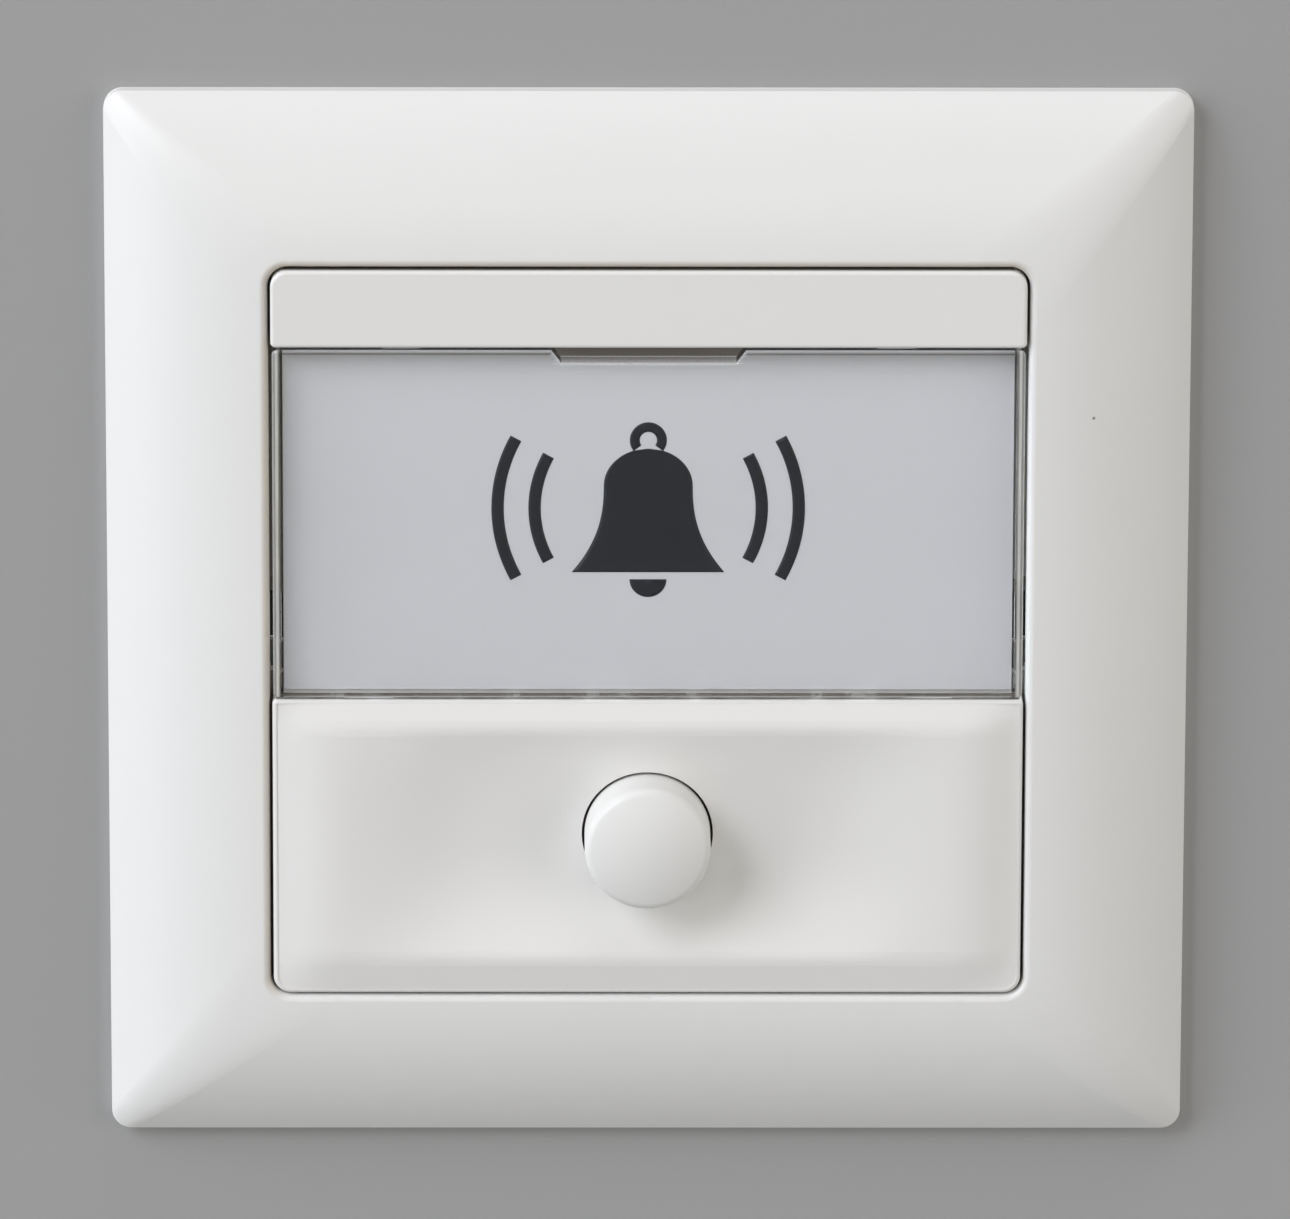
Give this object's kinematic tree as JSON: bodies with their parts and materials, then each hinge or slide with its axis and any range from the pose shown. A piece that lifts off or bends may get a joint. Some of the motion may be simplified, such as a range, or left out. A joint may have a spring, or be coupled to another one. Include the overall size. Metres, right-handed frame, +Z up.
{
  "type": "doorbell plate",
  "caption": "Square flush bell push: domed cover frame, label window that tilts out, dished panel with a sprung round button and a contact block behind.",
  "frame": {"origin": "middle of the plate on the wall plane, midway between the two box screw slots", "axes": "+X to the right seen from the front, +Y into the wall, +Z up"},
  "size_m": [0.088, 0.0227, 0.088],
  "materials": {
    "frame_plastic": "satin warm white moulding",
    "front_plastic": "satin warm white moulding",
    "button_plastic": "satin warm white moulding",
    "clear_plastic": "clear polished moulding",
    "card": "matt pale grey card",
    "block_plastic": "matt black moulding",
    "zinc_steel": "bright zinc plate",
    "spring_steel": "drawn wire",
    "contact_brass": "stamped strip",
    "contact_silver": "riveted silver tips"
  },
  "bodies": {
    "housing": {"cover_frame": "frame_plastic", "mounting_plate": "zinc_steel", "front_plate": "front_plastic", "label_card": "card", "return_spring": "spring_steel", "contact_base": "block_plastic", "contact_cover": "block_plastic", "fixed_tip_left": "contact_silver", "fixed_contact_left": "contact_brass", "clamp_washer_left": "zinc_steel", "terminal_screw_left": "zinc_steel", "block_screw_left": "zinc_steel", "fixed_tip_right": "contact_silver", "fixed_contact_right": "contact_brass", "clamp_washer_right": "zinc_steel", "terminal_screw_right": "zinc_steel", "block_screw_right": "zinc_steel"},
    "button": {"push_button": "button_plastic", "plunger": "block_plastic", "contact_bridge": "contact_brass", "bridge_tip_left": "contact_silver", "bridge_tip_right": "contact_silver"},
    "window": {"label_window": "clear_plastic"}
  },
  "joints": [
    {"name": "button_press", "type": "slide", "parent": "housing", "child": "button", "axis": [0, 1, 0], "range_m": [0, 0.002], "stiffness_N_per_m": 700, "springref_m": -0.0012, "deforming": ["return_spring"]},
    {"name": "window_tilt", "type": "hinge", "parent": "housing", "child": "window", "pos_m": [0, -0.0071, -0.0053], "axis": [1, 0, 0], "range_deg": [0, 40]}
  ]
}
